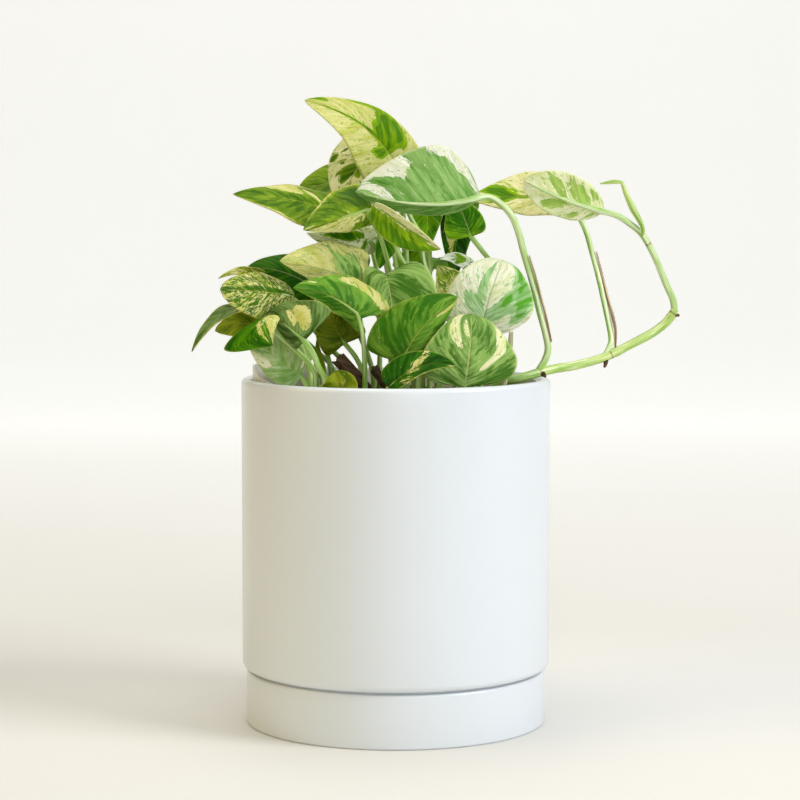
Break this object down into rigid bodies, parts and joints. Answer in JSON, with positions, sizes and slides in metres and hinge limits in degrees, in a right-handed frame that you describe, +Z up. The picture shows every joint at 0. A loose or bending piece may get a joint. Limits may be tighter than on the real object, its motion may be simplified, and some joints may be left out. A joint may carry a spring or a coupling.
{
  "type": "potted njoy pothos",
  "caption": "Bushy variegated pothos with one vine reaching out to the right, in a clear liner inside a white glazed cylinder pot on its saucer.",
  "frame": {"origin": "middle of the flat underside of the saucer", "axes": "+Z up along the pot's axis, -Y towards the viewer of the picture, +X to the right, the way the vine reaches"},
  "size_m": [0.2113, 0.1357, 0.2729],
  "materials": {
    "glaze": "satin",
    "liner": "satin",
    "mix": "matte",
    "bark": "matte",
    "leaf": "satin",
    "stem": "satin"
  },
  "bodies": {
    "root": {"leaf_small_rolled": "leaf", "leaf_front_heart": "leaf", "leaf_front_broad": "leaf", "leaf_marble_round": "leaf", "leaf_olive_speckle": "leaf", "leaf_heart_down": "leaf", "leaf_long_middle": "leaf", "leaf_speckled_left": "leaf", "leaf_dark_left": "leaf", "leaf_marbled_left": "leaf", "leaf_curled_tip": "leaf", "leaf_far_left": "leaf", "leaf_olive_round": "leaf", "leaf_front_left": "leaf", "leaf_patched": "leaf", "leaf_in_liner": "leaf", "leaf_under_long": "leaf", "leaf_yellow": "leaf", "leaf_sliver": "leaf", "leaf_folded": "leaf", "leaf_under_folded": "leaf", "leaf_pale_under": "leaf", "leaf_draped": "leaf", "leaf_top": "leaf", "leaf_spotted_back": "leaf", "leaf_round_back": "leaf", "leaf_left_pointed": "leaf", "leaf_under_arch": "leaf", "leaf_hanging_green": "leaf", "leaf_hanging_striped": "leaf", "leaf_dark_triangle": "leaf", "leaf_small_tip": "leaf", "leaf_behind_stalks": "leaf", "leaf_back_right": "leaf", "leaf_back_low": "leaf", "leaf_back_left": "leaf", "leaf_back_middle": "leaf", "leaf_back_upper": "leaf", "leaf_back_side": "leaf", "vine": "stem", "leaf_arch": "leaf", "leaf_vine_back": "leaf", "leaf_vine_tip": "leaf", "new_shoot": "stem", "sheath_first": "bark", "sheath_second": "bark", "dried_stub": "bark", "bark_chip_leaning": "bark", "bark_chip_flat": "bark", "bark_chip_front": "bark", "bark_chip_right": "bark", "bark_chip_rear": "bark", "pot": "glaze", "saucer": "glaze", "liner": "liner", "potting_mix": "mix"}
  },
  "joints": []
}
